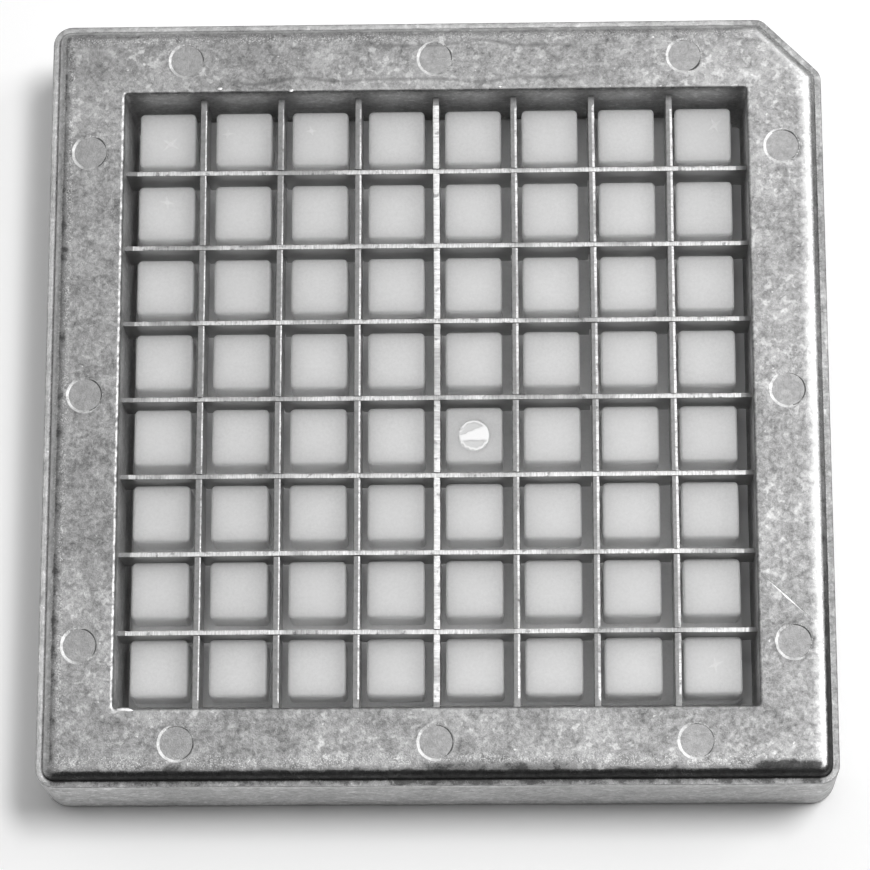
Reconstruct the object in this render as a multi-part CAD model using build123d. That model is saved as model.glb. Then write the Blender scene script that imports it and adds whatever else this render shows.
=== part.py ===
from build123d import *
import os
from math import radians, sqrt, tan

# French fry cutting block: a die-cast frame holding a grid of thin steel blades, standing over
# the moulded pusher plate whose square pegs press the fries through the grid.
# Origin: middle of the frame's foot. +Z up, +X right, +Y back. The cut corner is at +X +Y.
# Lengths in mm, angles in degrees.

# Grid
CELLS = 8                     # cells along each side
PITCH = 10.0                  # blade to blade, the width of a fry
CROSS_THICK = 0.6             # blades along X, on top at every crossing
LONG_THICK = 0.8              # blades along Y, underneath at every crossing
BLADE_DEPTH = 7.0
BLADE_RECESS = 3.0            # frame's top face down to the blades' top edges
BLADE_EMBED = 3.0             # length of each blade end that is cast into the frame
BEVEL_HEIGHT = 1.2            # cutting bevel along each blade's lower edge
EDGE_LAND = 0.2               # width left flat at the cutting edge
LAP_CLEAR = 0.05              # slot wall to the crossing blade, each side

# Frame
OPENING_TRIM = 0.2            # how much narrower the opening is than all the cells
OPENING_CORNER_RADIUS = 0.4
OPENING_EDGE_RADIUS = 0.25
BORDER_WIDTH = 10.15          # opening to the foot's edge
BODY_DRAFT = 2.0
LEDGE_WIDTH = 0.95
LEDGE_EDGE_RADIUS = 0.3
STEP_HEIGHT = 1.5             # ledge to the top face
STEP_EDGE_RADIUS = 1.0
STEP_CORNER_RADIUS = 1.5
CUT_LEG = 7.8                 # cut corner, measured along each side of the foot
CUT_BLEND = 1.0               # rounding at both ends of the cut, on the step

# Round ejector pin marks in the top face
MARK_RADIUS = 2.3
MARK_SINK = 0.15
MARK_INSET = 7.9              # opening's corner back to the marks nearest to it
MARKS_PER_SIDE = 3

# Pusher plate
BASE_THICK = 6.2
BASE_MARGIN = 0.45            # base edge beyond the outer pegs
BASE_CORNER_RADIUS = 1.5
BASE_CLEAR = 0.3              # base up to the cutting edges
PEG_WIDTH = 7.2               # across a peg's top
PEG_SHRINK = 0.01             # how much closer the pegs stand than the cells
PEG_DRAFT = 0.5
PEG_CORNER_RADIUS = 0.6
PEG_TOP_RADIUS = 0.3
PEG_TOP_DROP = 2.2            # blades' top edges down to the pegs' tops
PEG_GAP_BACK = 0.15           # least gap behind a peg, where the loose plate lies
PEG_GAP_LEFT = 0.4            # least gap to the left of a peg
GATE_RADIUS = 2.0             # gate scar in the top of a peg beside the middle
GATE_SINK = 0.15
SCREW_RADIUS = 1.6            # pilot holes in the base, under the pegs next to the corner ones
SCREW_DEPTH = 7.0

# What follows from these
TOP_Z = BASE_THICK + BASE_CLEAR + BLADE_DEPTH + BLADE_RECESS
BODY_HEIGHT = TOP_Z - STEP_HEIGHT
BLADE_TOP_Z = TOP_Z - BLADE_RECESS
BLADE_LOW_Z = BLADE_TOP_Z - BLADE_DEPTH
LAP_Z = (BLADE_TOP_Z + BLADE_LOW_Z) / 2
OPENING = CELLS * PITCH - OPENING_TRIM
FOOT_WIDTH = OPENING + 2 * BORDER_WIDTH
LEDGE_INSET = BODY_HEIGHT * tan(radians(BODY_DRAFT))
STEP_INSET = LEDGE_INSET + LEDGE_WIDTH
MARK_RING = (OPENING / 2 + FOOT_WIDTH / 2 - STEP_INSET) / 2     # along the middle of the top face
PEG_PITCH = PITCH * (1 - PEG_SHRINK)
PEG_TOP_Z = BLADE_TOP_Z - PEG_TOP_DROP
PEG_HEIGHT = PEG_TOP_Z - BASE_THICK
PEG_FOOT = PEG_WIDTH + 2 * PEG_HEIGHT * tan(radians(PEG_DRAFT))
BASE_WIDTH = (CELLS - 1) * PEG_PITCH + PEG_FOOT + 2 * BASE_MARGIN


def centred(count, step):
    """Places of `count` things, `step` apart, about zero."""
    return [(i - (count - 1) / 2) * step for i in range(count)]


def free_play(crossing_thick):
    """How far the centred plate can slide before an outer peg meets a blade."""
    lag = (CELLS - 1) / 2 * (PITCH - PEG_PITCH)
    return (PITCH - crossing_thick - PEG_FOOT) / 2 - lag


BLADE_PLACES = centred(CELLS - 1, PITCH)
PEG_PLACES = centred(CELLS, PEG_PITCH)
MARK_PLACES = centred(MARKS_PER_SIDE, (OPENING - 2 * MARK_INSET) / (MARKS_PER_SIDE - 1))
REST_PLACE = (PEG_GAP_LEFT - free_play(LONG_THICK), free_play(CROSS_THICK) - PEG_GAP_BACK)


def outline(inset):
    """The foot's outline drawn in by `inset`: a square with its +X +Y corner cut off."""
    half = FOOT_WIDTH / 2 - inset
    cut = half - CUT_LEG + (2 - sqrt(2)) * inset
    grow = STEP_INSET - inset
    face = Polygon((-half, -half), (half, -half), (half, cut), (cut, half), (-half, half), align=None)
    face = fillet([v for v in face.vertices() if min(v.X, v.Y) < 0], STEP_CORNER_RADIUS + grow)
    return fillet([v for v in face.vertices() if min(v.X, v.Y) > 0], CUT_BLEND + grow)


def top_edges(solid):
    """Edges round the highest face."""
    return solid.faces().sort_by(Axis.Z)[-1].edges()


def blade(thick):
    """Blade along X, with its square edge on top and its bevelled cutting edge below."""
    side = thick / 2
    land = EDGE_LAND / 2
    shoulder = BLADE_LOW_Z + BEVEL_HEIGHT
    section = Polygon(
        (-land, BLADE_LOW_Z),
        (land, BLADE_LOW_Z),
        (side, shoulder),
        (side, BLADE_TOP_Z),
        (-side, BLADE_TOP_Z),
        (-side, shoulder),
        align=None,
    )
    return extrude(Plane.YZ * section, OPENING / 2 + BLADE_EMBED, both=True)


def lap_slots(crossing_thick, low, high):
    """Half-lap slots, from `low` to `high`, at every blade that crosses one along X."""
    width = crossing_thick + 2 * LAP_CLEAR
    slot = Box(width, PITCH, high - low, align=(Align.CENTER, Align.CENTER, Align.MIN))
    return [Pos(x, 0, low) * slot for x in BLADE_PLACES]


def cross_blades():
    """Blades along X, slotted from below."""
    slotted = blade(CROSS_THICK) - lap_slots(LONG_THICK, BLADE_LOW_Z, LAP_Z)
    return [Pos(0, y, 0) * slotted for y in BLADE_PLACES]


def long_blades():
    """Blades along Y, slotted from above."""
    slotted = blade(LONG_THICK) - lap_slots(CROSS_THICK, LAP_Z, BLADE_TOP_Z)
    return [Pos(x, 0, 0) * Rot(0, 0, 90) * slotted for x in BLADE_PLACES]


def frame(blades):
    """Casting with a drafted body, a ledge and a rounded step on top, and pockets for the blades."""
    body = extrude(outline(0), BODY_HEIGHT, taper=BODY_DRAFT)
    body = fillet(top_edges(body), LEDGE_EDGE_RADIUS)
    step = extrude(Pos(0, 0, BODY_HEIGHT) * outline(STEP_INSET), STEP_HEIGHT)
    step = fillet(top_edges(step), STEP_EDGE_RADIUS)
    opening = extrude(RectangleRounded(OPENING, OPENING, OPENING_CORNER_RADIUS), TOP_Z)
    casting = body + step - opening
    rim = [e for e in top_edges(casting) if max(abs(e.center().X), abs(e.center().Y)) < MARK_RING]
    casting = fillet(rim, OPENING_EDGE_RADIUS)
    mark = Cylinder(MARK_RADIUS, 2 * MARK_SINK)
    for quarter in range(4):
        casting -= [Rot(0, 0, 90 * quarter) * Pos(s, MARK_RING, TOP_Z) * mark for s in MARK_PLACES]
    for one in blades:
        casting -= one
    return casting


def peg():
    """Square peg with drafted sides, rounded corners and a rounded top edge."""
    foot = PEG_FOOT / 2
    top = PEG_WIDTH / 2
    side = Polygon((-foot, 0), (foot, 0), (top, PEG_HEIGHT), (-top, PEG_HEIGHT), align=None)
    solid = extrude(Plane.XZ * side, foot, both=True) & extrude(Plane.YZ * side, foot, both=True)
    corners = [e for e in solid.edges() if e.bounding_box().size.Z > PEG_HEIGHT / 2]
    return fillet(top_edges(fillet(corners, PEG_CORNER_RADIUS)), PEG_TOP_RADIUS)


def pusher_plate():
    """One moulding: a square base with a peg for every cell, and pilot holes underneath."""
    plate = extrude(RectangleRounded(BASE_WIDTH, BASE_WIDTH, BASE_CORNER_RADIUS), BASE_THICK)
    one_peg = Pos(0, 0, BASE_THICK) * peg()
    plate += [Pos(x, y, 0) * one_peg for x in PEG_PLACES for y in PEG_PLACES]
    gate = Cylinder(GATE_RADIUS, 2 * GATE_SINK)
    middle = CELLS // 2
    plate -= Pos(PEG_PLACES[middle], PEG_PLACES[middle - 1], PEG_TOP_Z) * gate
    hole = Cylinder(SCREW_RADIUS, SCREW_DEPTH, align=(Align.CENTER, Align.CENTER, Align.MIN))
    screw_places = (PEG_PLACES[1], PEG_PLACES[-2])
    plate -= [Pos(x, y, 0) * hole for x in screw_places for y in screw_places]
    return Pos(*REST_PLACE) * plate


def write(name, solid):
    export_step(solid, f"parts/{name}.step")


os.makedirs("parts", exist_ok=True)
cross = cross_blades()
long = long_blades()
for number, solid in enumerate(cross, 1):
    write(f"cross_blade_{number}", solid)
for number, solid in enumerate(long, 1):
    write(f"long_blade_{number}", solid)
write("frame", frame(cross + long))
write("pusher_plate", pusher_plate())
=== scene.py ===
import random
from math import cos, hypot, pi, radians, sin, sqrt

import bmesh
import bpy
from mathutils import Matrix, Vector, noise
from mathutils.geometry import delaunay_2d_cdt


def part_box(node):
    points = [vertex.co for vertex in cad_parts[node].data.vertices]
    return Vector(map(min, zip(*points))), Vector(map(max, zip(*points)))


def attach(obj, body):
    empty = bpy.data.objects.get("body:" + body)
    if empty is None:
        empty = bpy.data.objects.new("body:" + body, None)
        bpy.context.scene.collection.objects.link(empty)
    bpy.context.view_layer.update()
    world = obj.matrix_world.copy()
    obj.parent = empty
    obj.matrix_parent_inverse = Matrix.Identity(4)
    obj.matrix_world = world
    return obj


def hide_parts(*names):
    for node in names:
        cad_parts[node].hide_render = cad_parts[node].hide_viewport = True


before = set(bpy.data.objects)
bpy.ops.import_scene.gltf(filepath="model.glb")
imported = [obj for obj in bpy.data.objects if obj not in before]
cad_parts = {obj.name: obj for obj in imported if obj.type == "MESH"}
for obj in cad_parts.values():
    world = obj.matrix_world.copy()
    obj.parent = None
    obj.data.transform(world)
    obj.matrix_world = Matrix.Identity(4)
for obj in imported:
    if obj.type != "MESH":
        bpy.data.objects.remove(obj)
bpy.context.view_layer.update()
MM = 0.001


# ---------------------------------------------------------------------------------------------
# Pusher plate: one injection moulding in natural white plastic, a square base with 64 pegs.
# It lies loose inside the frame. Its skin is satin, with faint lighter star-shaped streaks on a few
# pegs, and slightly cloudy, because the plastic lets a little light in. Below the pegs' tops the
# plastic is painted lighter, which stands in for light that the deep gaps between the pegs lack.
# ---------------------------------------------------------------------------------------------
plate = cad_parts["pusher_plate"]
plate_low, plate_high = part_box("pusher_plate")
PEG_PITCH = 9.9
PEG_TOP_Z = 11.3
PLATE_X = (plate_low.x + plate_high.x) / 2 / MM
PLATE_Y = (plate_low.y + plate_high.y) / 2 / MM
PEG_TOP_GREY = 0.77        # grey of the pegs' tops
LOWER_PLASTIC_PAINTED_LIGHT = 0.98          # grey of the plastic below them, painted lighter to lift the shade in the gaps
LIGHT_REACH = 8.0             # how deep the light goes in, mm
# Lighter star-shaped streaks on a few pegs' tops: x, y, angle and length of the first ray.
STAR_STREAKS = (
    (-34.5, 34.7, 2.6, 3.4),
    (-34.8, 26.8, 1.7, 2.4),
    (-27.1, 36.0, 0.1, 1.8),
    (-16.2, 36.3, 1.9, 1.8),
    (36.0, 36.5, 0.7, 2.8),
    (34.7, -34.0, 0.4, 2.6),
)
STAR_TURNS = (0.0, 1.3)
STAR_WIDTH = 0.7
STAR_TONE_LIFT = 0.13


def node(material, kind, inputs=None, **settings):
    """Adds one shader node. An input is a value, or another node's output."""
    made = material.node_tree.nodes.new("ShaderNode" + kind)
    for name, value in settings.items():
        setattr(made, name, value)
    for name, value in (inputs or {}).items():
        if isinstance(value, bpy.types.NodeSocket):
            material.node_tree.links.new(value, made.inputs[name])
        else:
            made.inputs[name].default_value = value
    return made


def math(material, operation, a, b=0.0, c=0.0):
    """One math node's output."""
    made = node(material, "Math", {0: a, 1: b, 2: c}, operation=operation)
    return made.outputs[0]


def remap(material, value, low, high, to_low=0.0, to_high=1.0, smooth=False):
    """Maps value from low..high to to_low..to_high, and keeps it between them."""
    kind = "SMOOTHSTEP" if smooth else "LINEAR"
    made = node(material, "MapRange", {0: value, 1: low, 2: high, 3: to_low, 4: to_high},
                interpolation_type=kind)
    return made.outputs[0]


def millimetres(material):
    """The point on the piece, in millimetres, as a texture's place."""
    place = node(material, "TexCoord").outputs["Object"]
    scaled = node(material, "VectorMath", {0: place, "Scale": 1 / MM}, operation="SCALE")
    return scaled.outputs[0]


def grain(material, place, per_mm, detail=3.0, roughness=0.55, distortion=0.0):
    """Noise from about 0 to 1, whose spots are about 1 / per_mm long."""
    made = node(material, "TexNoise", {"Vector": place, "Scale": per_mm, "Detail": detail,
                                       "Roughness": roughness, "Distortion": distortion})
    return made.outputs["Fac"]


def grey(material, value):
    """A grey colour from one number."""
    return node(material, "CombineColor", {0: value, 1: value, 2: value}).outputs[0]


def bump(material, height, depth_mm, normal=None):
    """Bump whose height of 0 to 1 stands for depth_mm."""
    inputs = {"Height": height, "Distance": depth_mm * MM, "Strength": 1.0}
    if normal is not None:
        inputs["Normal"] = normal
    return node(material, "Bump", inputs).outputs[0]


def streak(material, place, x, y, angle, length, width):
    """A thin tapered line in plan, 1 along its middle and 0 away from it."""
    turned = node(material, "VectorRotate", {"Vector": place, "Center": (x, y, 0), "Angle": -angle},
                  rotation_type="Z_AXIS")
    parts = node(material, "SeparateXYZ", {0: turned.outputs[0]})
    along = math(material, "ABSOLUTE", math(material, "SUBTRACT", parts.outputs[0], x))
    across = math(material, "ABSOLUTE", math(material, "SUBTRACT", parts.outputs[1], y))
    taper = remap(material, along, 0.0, length / 2, 1.0, 0.0)
    reach = math(material, "MULTIPLY", taper, width / 2)
    return remap(material, math(material, "SUBTRACT", reach, across), 0.0, width / 4, smooth=True)


def set_inputs(material, inputs):
    """Sets or links inputs of the main shader."""
    shader = material.node_tree.nodes["Principled BSDF"]
    for name, value in inputs.items():
        if isinstance(value, bpy.types.NodeSocket):
            material.node_tree.links.new(value, shader.inputs[name])
        else:
            shader.inputs[name].default_value = value


def new_object(name, built):
    """Puts a finished bmesh into the scene as an object."""
    mesh = bpy.data.meshes.new(name)
    built.to_mesh(mesh)
    built.free()
    made = bpy.data.objects.new(name, mesh)
    bpy.context.scene.collection.objects.link(made)
    return made


def new_material(name):
    """An empty material with its main shader."""
    made = bpy.data.materials.new(name)
    made.use_nodes = True
    return made


white = new_material("white_moulding")
place = millimetres(white)
cloud = grain(white, place, 0.16, detail=4)
skin = grain(white, place, 5.0, detail=4)
fibre = grain(white, place, 2.4, detail=5, roughness=0.75)
up = node(white, "SeparateXYZ", {0: place}).outputs["Z"]
# Painted light: the plastic below the pegs' tops is lighter than the tops, to lift the shade between the
# pegs.
tone = remap(white, up, PEG_TOP_Z - 0.5, PEG_TOP_Z - 0.1, LOWER_PLASTIC_PAINTED_LIGHT, PEG_TOP_GREY)
tone = math(white, "MULTIPLY", tone, remap(white, cloud, 0.3, 0.7, 0.96, 1.04))
tone = math(white, "MULTIPLY", tone, remap(white, fibre, 0.25, 0.75, 0.92, 1.08))
for x, y, angle, length in STAR_STREAKS:
    for turn in STAR_TURNS:
        ray = streak(white, place, x, y, angle + turn, length, STAR_WIDTH)
        tone = math(white, "ADD", tone, math(white, "MULTIPLY", ray, STAR_TONE_LIFT))
set_inputs(white, {
    "Base Color": grey(white, tone),
    "Roughness": remap(white, skin, 0.3, 0.7, 0.34, 0.5),
    "Normal": bump(white, skin, 0.006),
    "Subsurface Weight": 1.0,
    "Subsurface Radius": (1.0, 1.0, 1.0),
    "Subsurface Scale": LIGHT_REACH * MM,
    "IOR": 1.5,
})
plate.data.materials.clear()
plate.data.materials.append(white)

# What the sprue left when it was cut off: a raised band and lip in the gate's round recess,
# painted lighter where they stand up, as a painted highlight of the lamp on them.
GATE_X = PLATE_X + PEG_PITCH / 2
GATE_Y = PLATE_Y - PEG_PITCH / 2
GATE_RADIUS = 1.97
GATE_FLOOR = PEG_TOP_Z - 0.15
CUT_ANGLE = radians(12)
STUB_HEIGHT = 0.12
STUB_ROOT = 0.05              # how far the stub reaches into the peg
STUB_RINGS = 25
STUB_SIDES = 96


def cut_height(x, y):
    """How far the cut stub stands up, from 0 to 1, at a point of the recess.

    The band runs across the recess and widens to the right. The lip follows the recess's wall,
    is rougher in front, and has gaps at both ends of the band.
    """
    ragged = noise.noise(Vector((x * 1.6, y * 1.6, 1.0)))
    along = x * cos(CUT_ANGLE) + y * sin(CUT_ANGLE)
    across = y * cos(CUT_ANGLE) - x * sin(CUT_ANGLE) + 0.12 * ragged
    band = (0.78 + 0.24 * along - 0.03 * along ** 3 - abs(across)) / 0.2
    band = min(band, (1.93 - hypot(x, y)) / 0.12)
    lip = 1 - abs(hypot(x, y) - 1.78 - 0.1 * ragged) / 0.2
    if y < 0:
        lip = 1 - abs(hypot(x, y * 0.97) - 1.7 - 0.3 * ragged) / (0.24 + 0.14 * ragged)
    if abs(y) < 0.4 or x < 0 and 0.6 < abs(y) < 0.9:
        lip *= 0.2
    return min(1.0, max(0.0, band, lip))


stub = bmesh.new()
stub_highlight = stub.verts.layers.float.new("stub_highlight")
rings = []
for r in range(1, STUB_RINGS + 1):
    ring = []
    for k in range(STUB_SIDES):
        x = GATE_RADIUS * r / STUB_RINGS * cos(2 * pi * k / STUB_SIDES)
        y = GATE_RADIUS * r / STUB_RINGS * sin(2 * pi * k / STUB_SIDES)
        raised = cut_height(x, y)
        z = GATE_FLOOR + 0.01 + STUB_HEIGHT * raised + 0.012 * noise.noise(Vector((x, y * 3.0, 2.0)))
        vert = stub.verts.new(Vector((GATE_X + x, GATE_Y + y, z)) * MM)
        # Painted highlight: how far the stub stands up also sets how much lighter it is painted.
        vert[stub_highlight] = raised
        ring.append(vert)
    rings.append(ring)
for inner, outer in zip(rings, rings[1:]):
    for k in range(STUB_SIDES):
        j = (k + 1) % STUB_SIDES
        stub.faces.new((inner[k], outer[k], outer[j], inner[j]))
stub.faces.new(rings[0])
for face in stub.faces:
    face.smooth = True
rim = rings[-1]
root = [stub.verts.new((v.co.x, v.co.y, (GATE_FLOOR - STUB_ROOT) * MM)) for v in rim]
for k in range(STUB_SIDES):
    j = (k + 1) % STUB_SIDES
    stub.faces.new((rim[k], root[k], root[j], rim[j]))
stub.faces.new(root[::-1])
for edge in stub.edges:
    if len({face.smooth for face in edge.link_faces}) > 1:
        edge.smooth = False
gate_scar = new_object("gate_scar", stub)
scar_highlight_material = new_material("scar_plastic_highlight")
torn = grain(scar_highlight_material, millimetres(scar_highlight_material), 3.0, detail=4)
cut = node(scar_highlight_material, "Attribute", attribute_name="stub_highlight").outputs["Fac"]
set_inputs(scar_highlight_material, {
    # Lighter where the stub stands up: a painted highlight on the band and lip.
    "Base Color": grey(scar_highlight_material, remap(scar_highlight_material, cut, 0.1, 0.8, 0.66, 0.98)),
    "Roughness": remap(scar_highlight_material, torn, 0.3, 0.7, 0.25, 0.5),
    "Normal": bump(scar_highlight_material, torn, 0.01),
    "IOR": 1.5,
})
gate_scar.data.materials.append(scar_highlight_material)
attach(gate_scar, "pusher")


# ---------------------------------------------------------------------------------------------
# Cast frame: one aluminium pressure die casting, with the blades' ends cast into its inner walls.
# Its skin is mottled and grey, the rims are rubbed bright and painted lighter where they catch the
# lamps, the walls are painted lighter against their shade, release wax blackens the front step's foot,
# painted shade darkens the right rim, and 12 ejector pins have left round marks in the top face,
# painted lighter on one side and darker on the other.
# ---------------------------------------------------------------------------------------------
FOOT_HALF = 50.05
FRAME_TOP = 16.46             # 0.04 mm low, so that its unevenness has room
LEDGE_Z = 15.0
LEDGE_INSET = 0.524
LEDGE_EDGE = 0.16
EDGE_STEPS = 4
EDGE_TURN = radians(88)       # the wall below the ledge leans 2 degrees
CUT_LEG = 7.8
CUT_BLEND = 1.0
STEP_INSET = 1.474
STEP_RADIUS = 1.0
STEP_CORNER = 1.5
EDGE_SLOPE = 0.55             # the top face falls a little before the step's rounding
FLAT_INSET = STEP_INSET + STEP_RADIUS + EDGE_SLOPE
LEAST_RADIUS = 0.4
OPENING_HALF = 39.9
OPENING_CORNER = 0.4
OPENING_EDGE = 0.25
WALL_STEPS = 10
MARK_RING = 44.238            # middle of the frame to the middle of each row of marks
MARK_STEP = 32.0
MARK_OUTER = 2.35
MARK_INNER = 2.06
MARK_LIP = 0.05
MARK_SINK = 0.07
MARK_SIDES = 64
DEEP_SIDE = radians(205)      # the pins sank deeper on this side

# Rings round the step's rounding: how far inside its wall, how far below the top, how uneven.
STEP_RINGS = (
    (1.0, 0.075, 0.1), (0.82, 0.12, 0.07), (0.64, 0.2, 0.05), (0.48, 0.31, 0.04),
    (0.33, 0.45, 0.03), (0.2, 0.63, 0.03), (0.1, 0.83, 0.02), (0.03, 1.05, 0.02),
)
# Rings over the ledge, with its hollow corner, and round the foot: inset and height.
LEDGE_RINGS = (
    (STEP_INSET, LEDGE_Z + 0.2), (STEP_INSET - 0.06, LEDGE_Z + 0.06), (STEP_INSET - 0.2, LEDGE_Z),
    (1.15, LEDGE_Z), (LEDGE_INSET + LEDGE_EDGE, LEDGE_Z),
)
FOOT_RINGS = ((0.012, 0.7), (0.05, 0.35), (0.16, 0.12), (0.4, 0.0))
# Rings over the opening's edge: how far out, how far down, how rubbed and painted with highlight,
# and how much flash.
OPENING_RINGS = (
    (0.42, 0.0, 0.0, 0.0), (0.3, 0.01, 1.0, 0.7), (0.14, 0.045, 1.0, 1.0), (0.05, 0.11, 0.5, 0.3),
    (0.0, OPENING_EDGE, 0.0, 0.0),
)
# How dark each ring of the step is painted, from the top face outwards and down: old release wax on
# the front step, darker over the front ledge, and painted shade along the right rim. And how much
# lighter each ring is painted: rubbed metal, and painted highlight on the roundings.
RING_WAX_AND_SHADE = {
    "front": (0.25, 0.5, 0.8, 0.95, 1.0, 1.0, 1.0, 1.0, 1.0, 1.0, 0.95, 0.72, 0.64, 0.5),
    "right": (0.0, 0.0, 0.1, 0.6, 0.85, 0.9, 0.9, 0.9, 0.9, 0.9, 0.8, 0.3),
    "back": (0.25, 0.42, 0.2, 0.0, 0.0, 0.0, 0.0, 0.0, 0.1, 0.3, 0.3, 0.1),
    "left": (0.4, 0.6, 0.25, 0.0, 0.0, 0.0, 0.0, 0.0, 0.1, 0.3, 0.3, 0.1),
    "cut": (0.0, 0.0, 0.0, 0.2, 0.5, 0.6, 0.6, 0.6, 0.6, 0.5, 0.4, 0.2),
}
RUBBED_AND_PAINTED_LIGHT = {
    "front": (0.0,) * 13 + (0.1, 0.6, 1.0, 1.0, 0.6),
    "right": (0.5, 1.0, 1.0, 0.6),
    "back": (0.0, 0.0, 0.1, 0.3, 0.4, 0.4, 0.3, 0.2, 0.0, 0.0, 0.0, 0.2, 0.4, 0.4, 0.4),
    "left": (0.0, 0.0, 0.3, 0.55, 0.6, 0.6, 0.5, 0.3, 0.0, 0.0, 0.0, 0.3, 0.5, 0.5, 0.5, 0.4, 0.3, 0.2),
    "cut": (0.2, 0.9, 1.0, 0.4),
}
# Painted light: how much lighter the outer and the inner walls are painted, to lift their shade.
WALL_PAINTED_LIGHT = 0.3
INNER_WALL_PAINTED_LIGHT = 0.6


def rounded_path(corners, arc_steps, side_steps):
    """Points along a closed path whose corners, (x, y, radius), are rounded."""
    count = len(corners)
    arcs = []
    for i, (x, y, radius) in enumerate(corners):
        here = Vector((x, y))
        back = (Vector(corners[i - 1][:2]) - here).normalized()
        on = (Vector(corners[(i + 1) % count][:2]) - here).normalized()
        half = back.angle(on) / 2
        reach = radius / abs(sin(half) / cos(half))
        centre = here + (back + on).normalized() * radius / sin(half)
        start = here + back * reach - centre
        turn = pi - 2 * half
        arc = []
        for k in range(arc_steps + 1):
            angle = turn * k / arc_steps
            arc.append(centre + Matrix.Rotation(angle, 2) @ start)
        arcs.append(arc)
    points = []
    for i, arc in enumerate(arcs):
        points += arc
        nearest = arcs[(i + 1) % count][0]
        steps = side_steps[i]
        points += [arc[-1].lerp(nearest, k / steps) for k in range(1, steps)]
    return points


def outer_path(inset):
    """The frame's outline, drawn in by inset: a square with its +X +Y corner cut off."""
    half = FOOT_HALF - inset
    cut = half - CUT_LEG + (2 - sqrt(2)) * inset
    corner = max(LEAST_RADIUS, STEP_CORNER + STEP_INSET - inset)
    blend = max(LEAST_RADIUS, CUT_BLEND + STEP_INSET - inset)
    corners = [(half, -half, corner), (half, cut, blend), (cut, half, blend), (-half, half, corner),
               (-half, -half, corner)]
    return rounded_path(corners, 8, [150, 20, 150, 160, 220])


def inner_path(grow):
    """The opening's outline, let out by grow."""
    half = OPENING_HALF + grow
    radius = OPENING_CORNER + grow
    corners = [(half, -half, radius), (half, half, radius), (-half, half, radius), (-half, -half, radius)]
    return rounded_path(corners, 6, [200, 160, 300, 160])


def wander(x, y, z, per_mm, seed):
    """Smooth noise from -1 to 1 at a point in millimetres."""
    return noise.noise(Vector((x * per_mm + seed, y * per_mm, z * per_mm)))


def cast_top(x, y):
    """Height of the frame's top face, which is a little uneven."""
    return FRAME_TOP + 0.016 * wander(x, y, 0, 0.22, 3.1) + 0.008 * wander(x, y, 0, 0.9, 8.4)


def clamp(value):
    """Keeps a value between 0 and 1."""
    return max(0.0, min(1.0, value))


cast = bmesh.new()
rub_and_highlight = cast.verts.layers.float.new("rub_and_highlight")
wax_and_painted_shade = cast.verts.layers.float.new("wax_and_painted_shade")
pin = cast.verts.layers.float.new("pin")


def rim_value(values, x, y, ring_number):
    """A ring's value at a point, blended round the corners. Rings beyond the list have none."""
    def on(side):
        return values[side][ring_number] if ring_number < len(values[side]) else 0.0

    flat = on("front" if y < 0 else "back")
    upright = on("left" if x < 0 else "right")
    share = clamp((abs(y) - abs(x) + 1.5) / 3)
    cut = clamp((x + y - (2 * FOOT_HALF - CUT_LEG - 6.0)) / 2)
    return (flat * share + upright * (1 - share)) * (1 - cut) + on("cut") * cut


def spread_wax(x, y):
    """Where the front rim's wax has spread onto the top face."""
    corner = 0.95 * clamp((x - 37) / 3) * clamp((47.8 - x) / 1.0)
    middle = 0.6 * clamp((x + 6) / 6) * clamp((22 - x) / 4)
    return max(corner, middle) * clamp((-46.3 - y) / 0.6)


def add_ring(path, z, wobble, added_rub_and_light, beads=0.0, ring_number=99):
    """One ring of points round the frame, each shifted a little, with beads of flash."""
    ring = []
    for p in path:
        push = wobble * (wander(p.x, p.y, z, 0.8, 5.5) + 0.6 * wander(p.x, p.y, z, 2.3, 1.5))
        lift = min(wobble, 0.02) * wander(p.x, p.y, z, 0.7, 9.2)
        bead = max(0.0, wander(p.x, p.y, 0.0, 1.7, 4.4) + 0.25)
        if p.x < -OPENING_HALF:    # the flash stands up along the left side only
            lift += 0.04 * beads * bead
        away = p.normalized() * push
        vert = cast.verts.new(Vector((p.x + away.x, p.y + away.y, z + lift)) * MM)
        # The flash's beads are painted lighter, most along the left edge, which faces the lamps: a
        # painted highlight.
        if beads:
            side = 1.0 if p.x < -OPENING_HALF else 0.3 if p.x > OPENING_HALF else 0.08
            vert[rub_and_highlight] = side * added_rub_and_light * clamp(2.5 * bead)
        else:
            vert[rub_and_highlight] = rim_value(RUBBED_AND_PAINTED_LIGHT, p.x, p.y, ring_number) + added_rub_and_light
        vert[wax_and_painted_shade] = rim_value(RING_WAX_AND_SHADE, p.x, p.y, ring_number)
        if ring_number < 3:
            vert[wax_and_painted_shade] = max(vert[wax_and_painted_shade], spread_wax(p.x, p.y))
        if p.x > 0:                # the darkening on the right, wax in front and painted shade along the rim, thins out to the back
            vert[wax_and_painted_shade] *= 1 - 0.45 * clamp((p.y + 42) / 30)
        ring.append(vert)
    return ring


def join_rings(above, below):
    """Faces between two rings with as many points."""
    for i in range(len(above)):
        j = (i + 1) % len(above)
        cast.faces.new((above[i], below[i], below[j], above[j]))


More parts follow.
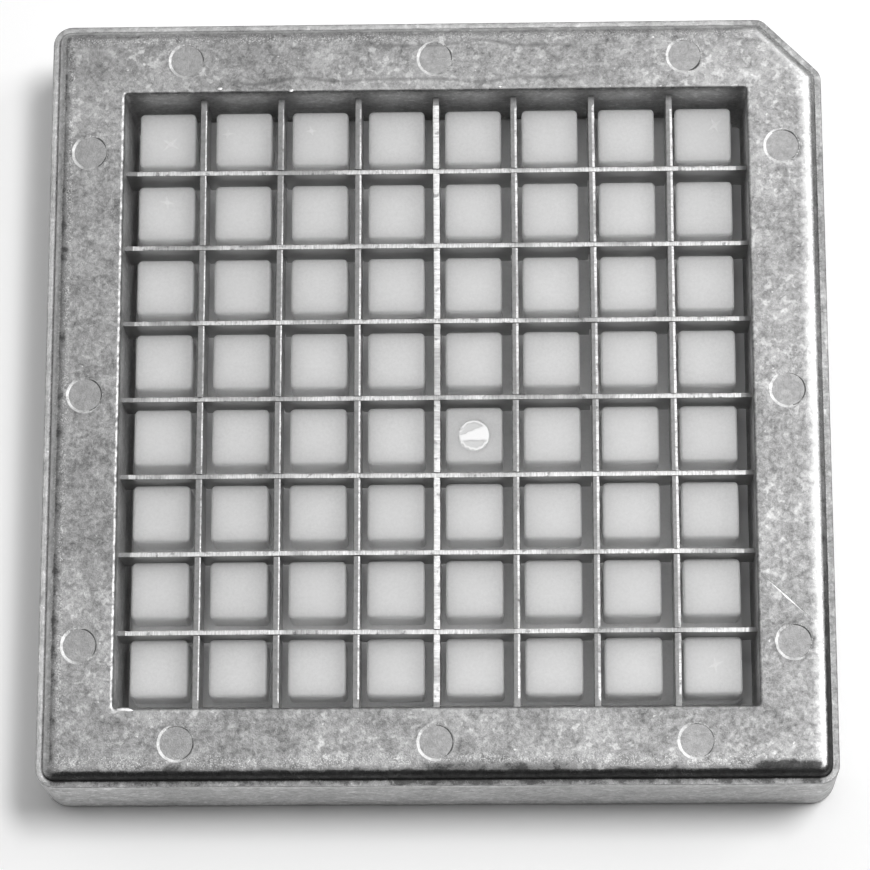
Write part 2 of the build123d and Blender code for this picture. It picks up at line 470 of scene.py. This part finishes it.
outside = [add_ring(outer_path(FLAT_INSET), FRAME_TOP, 0.2, 0.0, ring_number=0)]
for back, drop, wobble in STEP_RINGS:
    path = outer_path(STEP_INSET + back)
    outside.append(add_ring(path, FRAME_TOP - drop, wobble, 0.0, ring_number=len(outside)))
for inset, z in LEDGE_RINGS:
    outside.append(add_ring(outer_path(inset), z, 0.012, 0.0, ring_number=len(outside)))
for k in range(1, EDGE_STEPS + 1):
    angle = EDGE_TURN * k / EDGE_STEPS
    inset = LEDGE_INSET + LEDGE_EDGE * (1 - sin(angle))
    z = LEDGE_Z - LEDGE_EDGE + LEDGE_EDGE * cos(angle)
    outside.append(add_ring(outer_path(inset), z, 0.012, 0.0, ring_number=len(outside)))
for k in range(1, WALL_STEPS):
    share = k / WALL_STEPS
    z = (LEDGE_Z - LEDGE_EDGE) * (1 - share)
    outside.append(add_ring(outer_path(LEDGE_INSET * (1 - share)), z, 0.015, WALL_PAINTED_LIGHT))
for inset, z in FOOT_RINGS:
    outside.append(add_ring(outer_path(inset), z, 0.0, 0.0))
for above, below in zip(outside, outside[1:]):
    join_rings(above, below)

inside = []
for grow, drop, added_rub_and_light, beads in OPENING_RINGS:
    inside.append(add_ring(inner_path(grow), FRAME_TOP - drop, 0.02, added_rub_and_light, beads))
for k in range(1, WALL_STEPS + 1):
    z = (FRAME_TOP - OPENING_EDGE) * (1 - k / WALL_STEPS)
    wobble = 0.0 if k == WALL_STEPS else 0.01
    inside.append(add_ring(inner_path(0.0), z, wobble, INNER_WALL_PAINTED_LIGHT))
for above, below in zip(inside, inside[1:]):
    join_rings(below, above)

marks = []
for quarter in range(4):
    for along in (-MARK_STEP, 0.0, MARK_STEP):
        marks.append(Matrix.Rotation(quarter * pi / 2, 2) @ Vector((along, MARK_RING)))


def inside_path(point, path):
    """Whether a closed path goes round the point."""
    crossed = False
    for a, b in zip(path, path[1:] + path[:1]):
        if (a.y > point.y) != (b.y > point.y):
            if point.x < a.x + (point.y - a.y) * (b.x - a.x) / (b.y - a.y):
                crossed = not crossed
    return crossed


def fill_between(outer, inner, height, spots, spacing):
    """Fills the flat face between two rings with small triangles, and sinks the round marks."""
    rng = random.Random(11)
    points = [Vector((v.co.x, v.co.y)) / MM for v in outer + inner]
    edges = []
    for start, ring in ((0, outer), (len(outer), inner)):
        size = len(ring)
        edges += [(start + i, start + (i + 1) % size) for i in range(size)]
    for spot in spots:
        for radius in (MARK_OUTER + MARK_LIP, MARK_OUTER, MARK_INNER, MARK_INNER - MARK_LIP):
            start = len(points)
            for k in range(MARK_SIDES):
                angle = 2 * pi * k / MARK_SIDES
                points.append(spot + Vector((cos(angle), sin(angle))) * radius)
            edges += [(start + k, start + (k + 1) % MARK_SIDES) for k in range(MARK_SIDES)]
    # Loose points in between, clear of the rings, the cut corner and the marks' edges.
    steps = int(2 * FOOT_HALF / spacing)
    for i in range(steps):
        for j in range(steps):
            x = -FOOT_HALF + (i + 0.5 + 0.5 * (rng.random() - 0.5)) * spacing
            y = -FOOT_HALF + (j + 0.5 + 0.5 * (rng.random() - 0.5)) * spacing
            reach = max(abs(x), abs(y))
            if not OPENING_HALF + 0.65 < reach < FOOT_HALF - FLAT_INSET - 0.45:
                continue
            if x + y > 2 * FOOT_HALF - CUT_LEG - 3.8:
                continue
            away = min((hypot(x - s.x, y - s.y) for s in spots), default=9.0)
            if abs(away - MARK_INNER) < 0.45 or abs(away - MARK_OUTER) < 0.3:
                continue
            points.append(Vector((x, y)))
    filled = delaunay_2d_cdt(points, edges, [], 1, 1e-7)
    hole = [Vector((v.co.x, v.co.y)) / MM for v in inner]
    known = outer + inner
    nowhere = Vector((99.0, 99.0))    # stands for a mark on a face without any
    verts = []
    for co, origins in zip(filled[0], filled[3]):
        if origins and origins[0] < len(known):
            verts.append(known[origins[0]])
            continue
        spot = min(spots, key=lambda s: hypot(co.x - s.x, co.y - s.y), default=nowhere)
        from_spot = Vector((co.x, co.y)) - spot
        away = from_spot.length
        sunk = min(1.0, max(0.0, (MARK_OUTER - away) / (MARK_OUTER - MARK_INNER)))
        tilt = (from_spot.x * cos(DEEP_SIDE) + from_spot.y * sin(DEEP_SIDE)) / MARK_OUTER
        z = height(co.x, co.y) - MARK_SINK * sunk * (1 + 0.35 * tilt)
        vert = cast.verts.new(Vector((co.x, co.y, z)) * MM)
        ragged = 0.8 * wander(co.x, co.y, 0.0, 0.6, 6.6)
        if MARK_INNER - 0.03 < away < MARK_OUTER + 0.03:
            # The mark's edge is painted lighter on its deep side and darker on the other: a painted
            # highlight and a painted shadow of the lamps.
            vert[rub_and_highlight] = 0.6 * clamp(0.2 + 1.6 * tilt + ragged)
            shaded_side = sunk > 0.9 and tilt < 0.2
            vert[wax_and_painted_shade] = clamp(0.4 - 0.6 * tilt + ragged) if shaded_side else 0.0
        else:
            # Thin wax along the front edge.
            wax_here = 0.3 + 0.3 * wander(co.x, co.y, 0.0, 0.15, 7.7)
            vert[wax_and_painted_shade] = wax_here * clamp((-45.4 - co.y) / 1.4)
        vert[pin] = 1.0 if away < MARK_INNER - 0.03 else 0.0
        verts.append(vert)
    for face in filled[2]:
        middle = sum((filled[0][i] for i in face), Vector((0, 0))) / len(face)
        if max(abs(middle.x), abs(middle.y)) < OPENING_HALF + 0.5 and inside_path(middle, hole):
            continue
        cast.faces.new([verts[i] for i in face])


fill_between(outside[0], inside[0], cast_top, marks, 0.7)
fill_between(outside[-1], inside[-1], lambda x, y: 0.0, [], 3.0)
for face in cast.faces:
    face.smooth = True
bmesh.ops.recalc_face_normals(cast, faces=cast.faces)
cast_frame = new_object("cast_frame", cast)

# The skin's grey comes from metal that froze in patches, with pale spots and a few bright specks.
FLOW_LINES = ((41.5, 5.0, -29.0, 22.0), (46.0, -7.0, -12.0, 20.0))    # y, swing, and x from and to
LINE_HALF = 0.42
SCRATCH = (43.4, -26.4, radians(-43), 10.6, 0.34)
RUB_AND_HIGHLIGHT_GAIN = 0.34
WAX_AND_SHADE_TONE = 0.2

casting = new_material("cast_frame")
place = millimetres(casting)
broad = grain(casting, place, 0.09, detail=3)
patch = grain(casting, place, 0.4, detail=4, roughness=0.6, distortion=0.5)
mottle = grain(casting, place, 1.5, detail=8, roughness=0.78, distortion=0.4)
spots = grain(casting, place, 1.0, detail=2)
specks = grain(casting, place, 1.4, detail=1)
fine = grain(casting, place, 5.0, detail=5, roughness=0.65)
tone = remap(casting, mottle, 0.34, 0.68, 0.18, 0.42)
tone = math(casting, "ADD", tone, remap(casting, broad, 0.3, 0.7, -0.05, 0.05))
tone = math(casting, "ADD", tone, remap(casting, patch, 0.3, 0.7, -0.06, 0.1))
where = remap(casting, broad, 0.42, 0.58, 0.45, 1.0, smooth=True)
spot = math(casting, "MULTIPLY", remap(casting, spots, 0.56, 0.66, 0.0, 0.16), where)
tone = math(casting, "ADD", tone, spot)
tone = math(casting, "ADD", tone, remap(casting, specks, 0.74, 0.8, 0.0, 0.3))
# The pins' marks are smoother.
pressed = node(casting, "Attribute", attribute_name="pin").outputs["Fac"]
calm = remap(casting, mottle, 0.34, 0.68, 0.3, 0.37)
calm_share = math(casting, "MULTIPLY", pressed, 0.8)
tone = math(casting, "MULTIPLY_ADD", math(casting, "SUBTRACT", calm, tone), calm_share, tone)
# Two long dark lines along the back side, where two streams of metal met.
at = node(casting, "SeparateXYZ", {0: place})
wave = grain(casting, node(casting, "CombineXYZ", {0: at.outputs["X"]}).outputs[0], 0.07, detail=1)
for line_y, swing, start, end in FLOW_LINES:
    line = math(casting, "MULTIPLY_ADD", math(casting, "SUBTRACT", wave, 0.5), swing, line_y)
    off_line = math(casting, "ABSOLUTE", math(casting, "SUBTRACT", at.outputs["Y"], line))
    there = remap(casting, off_line, 0.0, LINE_HALF, 1.0, 0.0, smooth=True)
    there = math(casting, "MULTIPLY", there, remap(casting, at.outputs["X"], start, start + 6.0))
    there = math(casting, "MULTIPLY", there, remap(casting, at.outputs["X"], end - 6.0, end, 1.0, 0.0))
    there = math(casting, "MULTIPLY", there, remap(casting, mottle, 0.4, 0.55, 0.4, 1.0))
    tone = math(casting, "MULTIPLY", tone, remap(casting, there, 0.0, 1.0, 1.0, 0.62))
# The rims are rubbed bright and painted lighter where they catch the lamps, the walls are painted
# lighter against their shade, and one scratch runs over the right side.
scratch = streak(casting, place, *SCRATCH)
added_rub_and_light = node(casting, "Attribute", attribute_name="rub_and_highlight").outputs["Fac"]
rub_scratch_and_highlight = math(casting, "MAXIMUM", added_rub_and_light, scratch)
tone = math(casting, "ADD", tone, math(casting, "MULTIPLY", rub_scratch_and_highlight, RUB_AND_HIGHLIGHT_GAIN))
# Old release wax blackens the front step's rim, and the same darkening paints shade along the right
# rim and on the pins' marks. It has a ragged upper edge and bright flecks along it.
wax_and_shade_mask = node(casting, "Attribute", attribute_name="wax_and_painted_shade").outputs["Fac"]
thin_wax_and_shade = remap(casting, wax_and_shade_mask, 0.02, 0.2)
flecks = math(casting, "MULTIPLY", thin_wax_and_shade, remap(casting, wax_and_shade_mask, 0.4, 0.8, 1.0, 0.0))
flecks = math(casting, "MULTIPLY", flecks, remap(casting, fine, 0.52, 0.62))
tone = math(casting, "ADD", tone, math(casting, "MULTIPLY", flecks, 0.3))
ragged = math(casting, "MULTIPLY_ADD", math(casting, "SUBTRACT", mottle, 0.5), 1.4, wax_and_shade_mask)
ragged = math(casting, "MULTIPLY_ADD", math(casting, "SUBTRACT", patch, 0.5), 1.6, ragged)
ragged = math(casting, "MULTIPLY_ADD", math(casting, "SUBTRACT", fine, 0.5), 0.8, ragged)
black = remap(casting, ragged, 0.3, 0.86, smooth=True)
tone = math(casting, "MULTIPLY", tone, remap(casting, black, 0.0, 1.0, 1.0, WAX_AND_SHADE_TONE))
rough = remap(casting, mottle, 0.3, 0.7, 0.6, 0.5)
rough = math(casting, "SUBTRACT", rough, math(casting, "MULTIPLY", rub_scratch_and_highlight, 0.1))
height = math(casting, "ADD", mottle, math(casting, "MULTIPLY", fine, 0.8))
height = math(casting, "SUBTRACT", height, math(casting, "MULTIPLY", scratch, 0.6))
set_inputs(casting, {
    "Base Color": grey(casting, tone),
    "Metallic": 1.0,
    "Roughness": rough,
    "Normal": bump(casting, height, 0.05),
})
cast_frame.data.materials.append(casting)
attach(cast_frame, "grid")
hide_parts("frame")

# Crumbs of flash that the die left on the opening's edge, rubbed bright: x, y, half the length,
# half the width, and angle.
FLASH = (
    (-18.5, 40.1, 0.32, 0.2, 0.3),
    (-27.7, 40.45, 0.4, 0.25, 0.0),
    (8.3, 40.3, 0.25, 0.15, 0.1),
    (-38.4, -40.05, 1.1, 0.28, -0.05),
)
CRUMB_HALF_HEIGHT = 0.07
crumbs = bmesh.new()
for x, y, length, width, angle in FLASH:
    placed = Matrix.Translation(Vector((x, y, FRAME_TOP - 0.04)) * MM) @ Matrix.Rotation(angle, 4, "Z")
    placed = placed @ Matrix.Diagonal((length * MM, width * MM, CRUMB_HALF_HEIGHT * MM, 1.0))
    bmesh.ops.create_icosphere(crumbs, subdivisions=3, radius=1.0, matrix=placed)
for vert in crumbs.verts:
    vert.co.xy *= 1 + 0.002 * noise.noise(vert.co * 2200)
for face in crumbs.faces:
    face.smooth = True
flash_crumbs = new_object("flash_crumbs", crumbs)
bare_metal = new_material("bare_metal")
dents = grain(bare_metal, millimetres(bare_metal), 3.0, detail=3)
set_inputs(bare_metal, {
    "Base Color": grey(bare_metal, remap(bare_metal, dents, 0.3, 0.7, 0.6, 0.85)),
    "Metallic": 1.0,
    "Roughness": 0.45,
    "Normal": bump(bare_metal, dents, 0.02),
})
flash_crumbs.data.materials.append(bare_metal)
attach(flash_crumbs, "grid")


# ---------------------------------------------------------------------------------------------
# Long blades: seven strips of stainless steel along Y, slotted from above. Their top edges are
# dull as rolled, with a ground slope along the right side that shines; the middle one is ground
# over its whole width. The rolled part is painted darker and the ground part lighter, as painted
# shade and painted highlight of the lamp at the right. None is quite straight.
# ---------------------------------------------------------------------------------------------
BLADE_COUNT = 7
PITCH = 10.0
BLADE_PLACES = [(i - BLADE_COUNT // 2) * PITCH for i in range(BLADE_COUNT)]
BLADE_TOP = 13.5
BLADE_LOW = 6.5
LAP_Z = 10.0
LAP_CLEAR = 0.05
BEVEL = 1.2
LAND = 0.2
REACH = OPENING_HALF + 3.0    # the ends are cast 3 mm into the frame
LONG_THICK = 0.8
CROSS_THICK = 0.6
STATION_STEP = 0.4
WAVE = 0.06                   # how far the edge wanders
ROLLED_SHADED, GROUND_LIT = 1, 2         # the edges' finishes, painted darker and lighter as shade and highlight, which come after the strip's own


def blade_object(name, thick, crossing, slot_above, bow, rub, nick, seed, along_y, all_ground_lit):
    """One blade: a worked top edge, half-lap slots and a bevelled cutting edge below.

    rub is the width of the slope along the top edge, nick the depth of its nicks, both in mm.
    """
    rng = random.Random(seed)
    side = thick / 2
    land = LAND / 2
    slot_half = crossing / 2 + LAP_CLEAR
    cuts = sorted([p - slot_half for p in BLADE_PLACES] + [p + slot_half for p in BLADE_PLACES])
    limits = [-REACH] + cuts + [REACH]
    stations = []
    for low, high in zip(limits, limits[1:]):
        steps = max(1, round((high - low) / STATION_STEP))
        stations += [low + (high - low) * k / steps for k in range(steps)]
    stations.append(REACH)
    rolled_shaded_end = rng.uniform(0.9, 1.8)
    mesh = bmesh.new()
    waves = [(rng.uniform(0.6, 2.4), rng.uniform(0, 2 * pi), rng.uniform(0.3, 1.0)) for _ in range(3)]

    def offset(s):
        """How far the blade stands aside at s along it; its ends are held."""
        along = s / OPENING_HALF
        held = max(0.0, 1 - along ** 6)
        curve = sum(size * sin(along * pi * freq + shift) for freq, shift, size in waves) / 3
        return held * (bow * (1 - along ** 2) + WAVE * curve)

    def section(s):
        """The ten corners at s along the blade, across it and up."""
        ground = 1.0 if abs(s) < OPENING_HALF - 1.2 else 0.0
        rough_z = -abs(rng.gauss(0, nick)) * ground
        rub_here = rub * ground + 0.03
        left = -side + rng.gauss(0, 0.012) * ground
        right = side + rng.gauss(0, 0.018) * ground
        top = BLADE_TOP - 0.02
        return [
            (-side, LAP_Z), (left, top - 0.04 + rough_z), (-side + 0.05, top + rough_z),
            (side - rub_here, top + rough_z * 0.6), (right, top - rub_here * 0.16 + rough_z),
            (side, LAP_Z), (side, BLADE_LOW + BEVEL), (land, BLADE_LOW), (-land, BLADE_LOW),
            (-side, BLADE_LOW + BEVEL),
        ]

    rows = []
    for s in stations:
        shift = offset(s)
        row = []
        for t, z in section(s):
            place_at = (t + shift, s, z) if along_y else (s, t + shift, z)
            row.append(Vector(place_at) * MM)
        rows.append(row)
    made = {}

    def vert(i, k):
        """Corner k at station i, made when it is first asked for."""
        if (i, k) not in made:
            made[(i, k)] = mesh.verts.new(rows[i][k])
        return made[(i, k)]

    # The blade's upper and lower half share the two corners at the laps' height.
    upper = [0, 1, 2, 3, 4, 5]
    lower = [5, 6, 7, 8, 9, 0]
    kept = lower if slot_above else upper
    gone = upper if slot_above else lower
    in_slot = []
    for i in range(len(stations) - 1):
        middle = (stations[i] + stations[i + 1]) / 2
        in_slot.append(any(abs(middle - p) < slot_half for p in BLADE_PLACES))

    def strip(i, ring):
        """Faces from station i to the next, along the given corners."""
        for a, b in zip(ring, ring[1:]):
            face = mesh.faces.new((vert(i, a), vert(i, b), vert(i + 1, b), vert(i + 1, a)))
            if ring is upper and a in (1, 2, 3):
                # The ends are left rolled and painted darker; at the right ends this stands in for the
                # frame wall's shadow.
                end = OPENING_HALF - abs(stations[i] + stations[i + 1]) / 2 < rolled_shaded_end
                face.material_index = GROUND_LIT if (a == 3 or all_ground_lit) and not end else ROLLED_SHADED

    for i, slotted in enumerate(in_slot):
        strip(i, kept)
        if slotted:
            a, b = kept[-1], kept[0]
            mesh.faces.new((vert(i, a), vert(i, b), vert(i + 1, b), vert(i + 1, a)))
        else:
            strip(i, gone)
        before = in_slot[i - 1] if i else slotted
        if before != slotted:
            mesh.faces.new([vert(i, k) for k in gone])
    last = len(stations) - 1
    mesh.faces.new([vert(0, k) for k in range(10)])
    mesh.faces.new([vert(last, k) for k in range(10)])
    bmesh.ops.recalc_face_normals(mesh, faces=mesh.faces)
    for face in mesh.faces:
        face.smooth = True
    for edge in mesh.edges:
        if len(edge.link_faces) != 2:
            continue
        one, other = edge.link_faces
        if edge.calc_face_angle() > radians(20) or one.material_index != other.material_index:
            edge.smooth = False
    return new_object(name, mesh)


strip_steel = new_material("strip_steel")
place = millimetres(strip_steel)
tarnish = grain(strip_steel, place, 0.25, detail=3)
rolled = node(strip_steel, "VectorMath", {0: place, 1: (1.0, 1.0, 14.0)}, operation="MULTIPLY")
lines = grain(strip_steel, rolled.outputs[0], 0.6, detail=4)
set_inputs(strip_steel, {
    "Base Color": grey(strip_steel, remap(strip_steel, tarnish, 0.3, 0.7, 0.42, 0.52)),
    "Metallic": 1.0,
    "Roughness": remap(strip_steel, lines, 0.3, 0.7, 0.3, 0.42),
    "Normal": bump(strip_steel, lines, 0.004),
})

rolled_edge_shaded = new_material("rolled_edge_shaded")
place = millimetres(rolled_edge_shaded)
grit = grain(rolled_edge_shaded, place, 2.2, detail=4, roughness=0.7)
set_inputs(rolled_edge_shaded, {
    "Base Color": grey(rolled_edge_shaded, remap(rolled_edge_shaded, grit, 0.3, 0.7, 0.2, 0.31)),
    "Metallic": 1.0,
    "Roughness": 0.6,
    "Normal": bump(rolled_edge_shaded, grit, 0.02),
})


def ground_edge(name, lines_per_mm, brightness):
    """Steel ground across its length: fine lines, bright, with dark nicks and missed places. Its bright
    grey is partly a painted highlight.
    """
    made = new_material(name)
    stretched = node(made, "VectorMath", {0: millimetres(made), 1: lines_per_mm}, operation="MULTIPLY")
    cuts = grain(made, stretched.outputs[0], 1.0, detail=4, roughness=0.65)
    nicks = grain(made, millimetres(made), 1.1, detail=3)
    missed = grain(made, millimetres(made), 0.12, detail=2)
    tone = remap(made, cuts, 0.3, 0.64, 0.55 * brightness, brightness)
    tone = math(made, "MULTIPLY", tone, remap(made, nicks, 0.32, 0.42, 0.5, 1.0))
    tone = math(made, "MULTIPLY", tone, remap(made, missed, 0.36, 0.5, 0.62, 1.0, smooth=True))
    set_inputs(made, {
        "Base Color": grey(made, tone),
        "Metallic": 1.0,
        "Roughness": remap(made, cuts, 0.3, 0.7, 0.62, 0.54),
        "Normal": bump(made, cuts, 0.02),
    })
    return made


ground_long_lit = ground_edge("ground_edge_long_lit", (0.6, 4.0, 0.6), 0.7)

LONG_BOWS = (0.05, -0.06, 0.0, 0.1, 0.05, 0.1, 0.0)
LONG_RUBS = (0.12, 0.13, 0.18, 0.5, 0.24, 0.28, 0.26)
LONG_NICK = 0.012
LONG_SEED = 40
ALL_GROUND_LIT_BLADE = 3
for i, x in enumerate(BLADE_PLACES):
    name = f"long_blade_{i + 1}"
    blade = blade_object(name + ".strip", LONG_THICK, CROSS_THICK, True, LONG_BOWS[i], LONG_RUBS[i],
                         LONG_NICK, LONG_SEED + i, True, i == ALL_GROUND_LIT_BLADE)
    blade.data.transform(Matrix.Translation((x * MM, 0, 0)))
    for finish in (strip_steel, rolled_edge_shaded, ground_long_lit):
        blade.data.materials.append(finish)
    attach(blade, "grid")
    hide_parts(name)


# ---------------------------------------------------------------------------------------------
# Cross blades: seven thinner strips of the same steel along X, slotted from below, so their
# rough ground edges run over the long blades without a break.
# ---------------------------------------------------------------------------------------------
CROSS_BOWS = (0.0, 0.05, -0.05, 0.0, 0.04, 0.0, -0.05)
CROSS_RUB = 0.1
CROSS_NICK = 0.02
CROSS_SEED = 80
ground_cross_lit = ground_edge("ground_edge_cross_lit", (4.0, 0.6, 0.6), 0.74)
for i, y in enumerate(BLADE_PLACES):
    name = f"cross_blade_{i + 1}"
    blade = blade_object(name + ".strip", CROSS_THICK, LONG_THICK, False, CROSS_BOWS[i], CROSS_RUB,
                         CROSS_NICK, CROSS_SEED + i, False, True)
    blade.data.transform(Matrix.Translation((0, y * MM, 0)))
    for finish in (strip_steel, rolled_edge_shaded, ground_cross_lit):
        blade.data.materials.append(finish)
    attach(blade, "grid")
    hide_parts(name)


# ---------------------------------------------------------------------------------------------
# Studio: a pale floor, one soft lamp high at the right, two weaker ones overhead and further to
# the right, and a plain grey room that is darker in front.
# ---------------------------------------------------------------------------------------------
FLOOR_HALF = 1.5
PAPER = 0.8                   # the floor's grey, for the light that falls on it
PAPER_SEEN = 1.08             # and as it is seen, so that it stays white
sheet = bmesh.new()
bmesh.ops.create_grid(sheet, x_segments=8, y_segments=8, size=FLOOR_HALF)
studio_floor = new_object("studio_floor", sheet)
paper = new_material("white_paper")
rays = node(paper, "LightPath")
seen = math(paper, "MAXIMUM", rays.outputs["Is Camera Ray"], rays.outputs["Is Glossy Ray"])
seen = math(paper, "MAXIMUM", seen, rays.outputs["Is Transmission Ray"])
set_inputs(paper, {
    "Base Color": grey(paper, remap(paper, seen, 0.0, 1.0, PAPER, PAPER_SEEN)),
    "Roughness": 0.9,
    "Specular IOR Level": 0.0,
})
studio_floor.data.materials.append(paper)


def lamp(name, place_at, width, length, watts):
    """A soft lamp that faces the part."""
    light = bpy.data.lights.new(name, "AREA")
    light.shape = "RECTANGLE"
    light.size = width
    light.size_y = length
    light.energy = watts
    held = bpy.data.objects.new(name, light)
    held.location = place_at
    held.rotation_euler = (-Vector(place_at)).to_track_quat("-Z", "Y").to_euler()
    bpy.context.scene.collection.objects.link(held)


lamp("lamp_high_right", (0.36, 0.17, 1.1), 0.38, 0.22, 6.9)
lamp("lamp_overhead", (-0.02, 0.05, 1.1), 0.5, 0.3, 1.7)
lamp("lamp_right", (0.8, 0.28, 0.7), 0.4, 0.4, 2.0)

world = bpy.data.worlds.new("grey_room")
world.use_nodes = True
toward = node(world, "SeparateXYZ", {0: node(world, "TexCoord").outputs["Generated"]})
front_to_back = remap(world, toward.outputs["Y"], -0.6, 0.2, 0.02, 1.0, smooth=True)
near_floor = remap(world, toward.outputs["Z"], 0.1, 0.4, 0.5, 0.0, smooth=True)
level = math(world, "MAXIMUM", front_to_back, near_floor)
left_side = remap(world, toward.outputs["X"], -0.9, 0.1, 0.52, 0.3, smooth=True)
right_side = remap(world, toward.outputs["X"], 0.4, 0.95, 1.0, 0.4, smooth=True)
level = math(world, "MULTIPLY", level, math(world, "MULTIPLY", left_side, right_side))
room = world.node_tree.nodes["Background"]
room.inputs["Color"].default_value = (1, 1, 1, 1)
world.node_tree.links.new(level, room.inputs["Strength"])
bpy.context.scene.world = world

# The camera looks down from the front, a little from the right.
camera_data = bpy.data.cameras.new("camera")
camera_data.sensor_width = 36.0
camera_data.lens = 141.0
camera = bpy.data.objects.new("camera", camera_data)
camera.location = (0.01259, -0.10272, 0.43216)
camera.rotation_euler = (radians(13.15), radians(1.756), radians(-0.058))
bpy.context.scene.collection.objects.link(camera)
bpy.context.scene.camera = camera
bpy.context.scene.view_settings.view_transform = "Standard"
